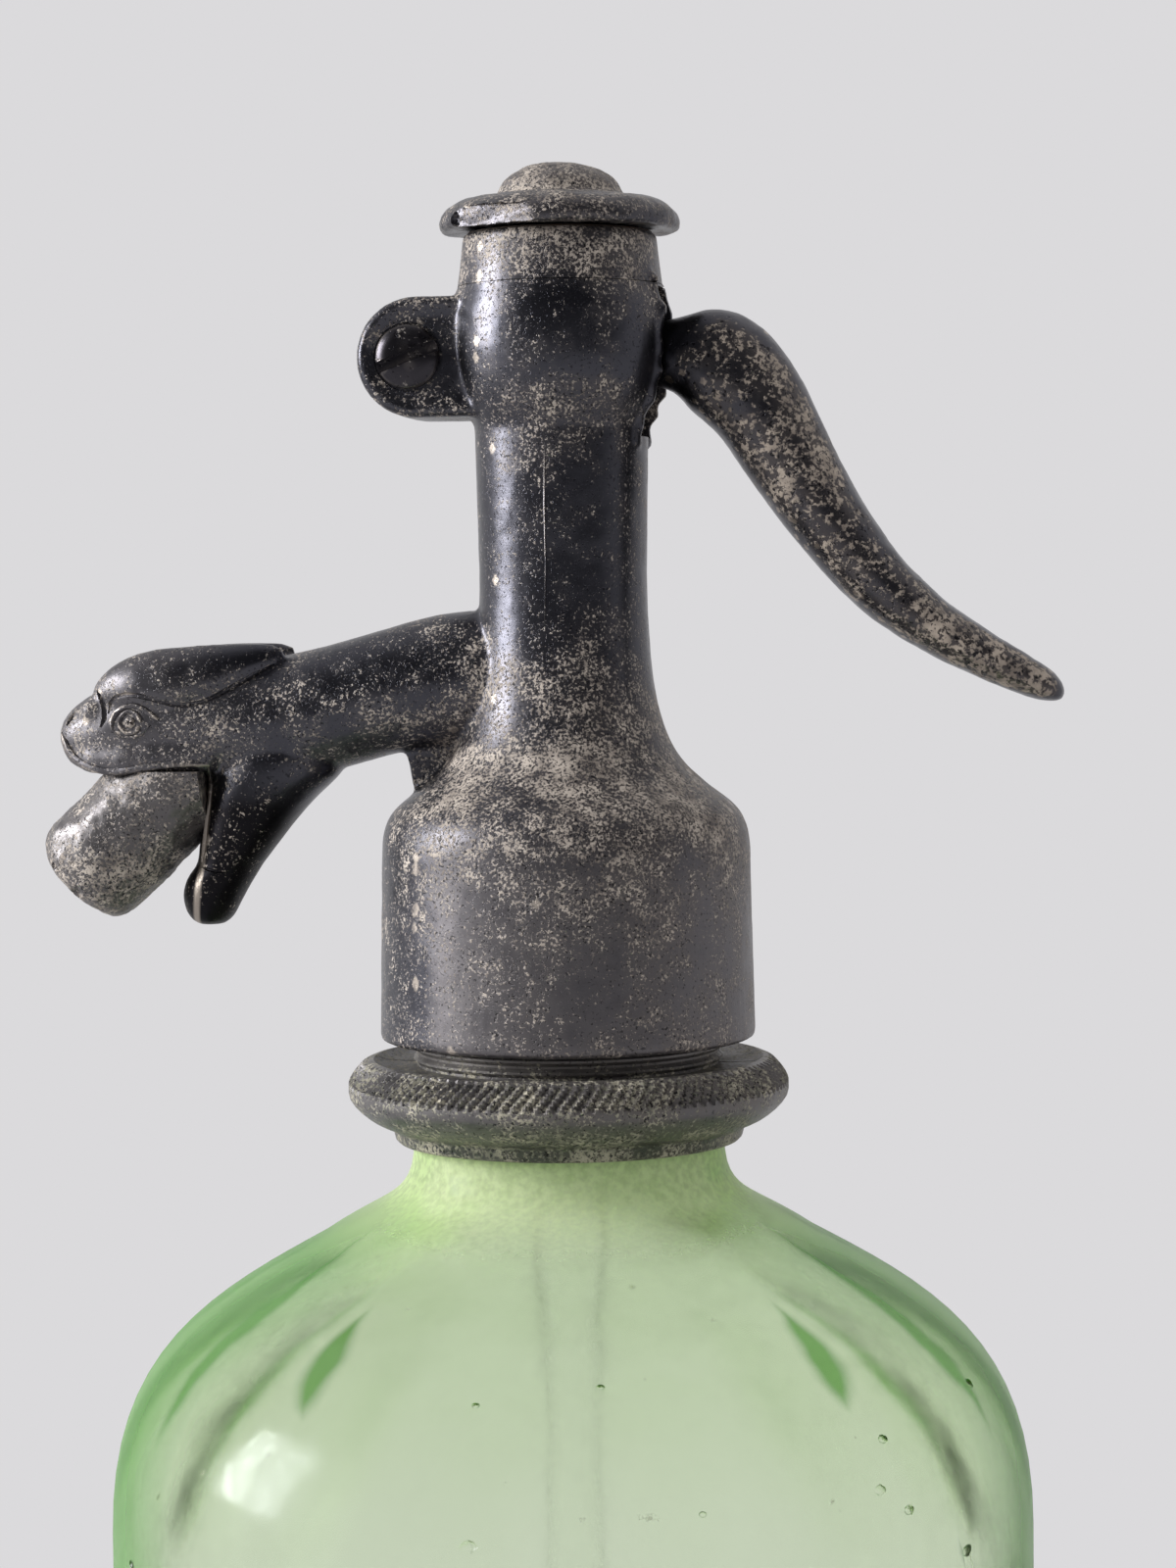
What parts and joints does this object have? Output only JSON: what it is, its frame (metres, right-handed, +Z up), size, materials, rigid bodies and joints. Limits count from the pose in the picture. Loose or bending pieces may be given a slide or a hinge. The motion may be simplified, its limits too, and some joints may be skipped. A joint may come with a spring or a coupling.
{
  "type": "soda siphon",
  "caption": "Glass soda siphon with a screw collar and a cast head: pressing the horn-shaped lever opens the valve and soda leaves by the animal-headed spout.",
  "frame": {"origin": "middle of the bottle's flat base", "axes": "+Z up the bottle, +X towards the lever's handle, -X towards the spout, -Y towards the pivot screw's head"},
  "size_m": [0.1085, 0.0966, 0.2938],
  "materials": {
    "bottle_glass": "pale green pressed glass, glossy, with small seeds and scuffs",
    "tube_glass": "clear pale green glass tube",
    "pewter": "cast tin alloy, oxidised to a dark blue grey, pitted, with pale dusty patches",
    "collar_pewter": "cast tin alloy, oxidised, worn bright on the thread",
    "dark_steel": "blackened steel screw",
    "brass": "dull turned brass",
    "spring_steel": "drawn spring wire",
    "rubber": "aged dark rubber",
    "leather": "greased brown leather"
  },
  "bodies": {
    "root": {"glass_bottle": "bottle_glass", "dip_tube": "tube_glass", "tube_ferrule": "brass", "tube_grommet": "rubber", "mouth_washer": "rubber", "collar_half_front": "collar_pewter", "collar_half_back": "collar_pewter", "head_casting": "pewter", "spout_nozzle": "pewter", "top_cap": "pewter", "cap_washer": "leather", "pivot_screw": "dark_steel", "packing_nut": "brass", "stem_packing": "leather", "packing_washer": "brass", "seat_gasket": "leather", "valve_seat": "brass"},
    "lever": {"lever": "pewter"},
    "stem": {"stem_yoke": "brass", "spring_cup": "brass", "return_spring": "spring_steel", "valve_stem": "brass", "valve_seal": "rubber", "seal_washer": "brass", "valve_nut": "brass"}
  },
  "joints": [
    {"name": "lever_press", "type": "hinge", "parent": "root", "child": "lever", "pos_m": [-0.01526, 0, 0.2736], "axis": [0, 1, 0], "range_deg": [0, 10], "stiffness_Nm_per_rad": 3, "springref_deg": -5.73},
    {"name": "stem_slide", "type": "slide", "parent": "root", "child": "stem", "axis": [0, 0, -1], "range_m": [0, 0.0027], "deforming": ["return_spring"]}
  ],
  "couplings": [
    {"joint": "stem_slide", "follows": "lever_press", "m_per_rad": 0.01526}
  ]
}
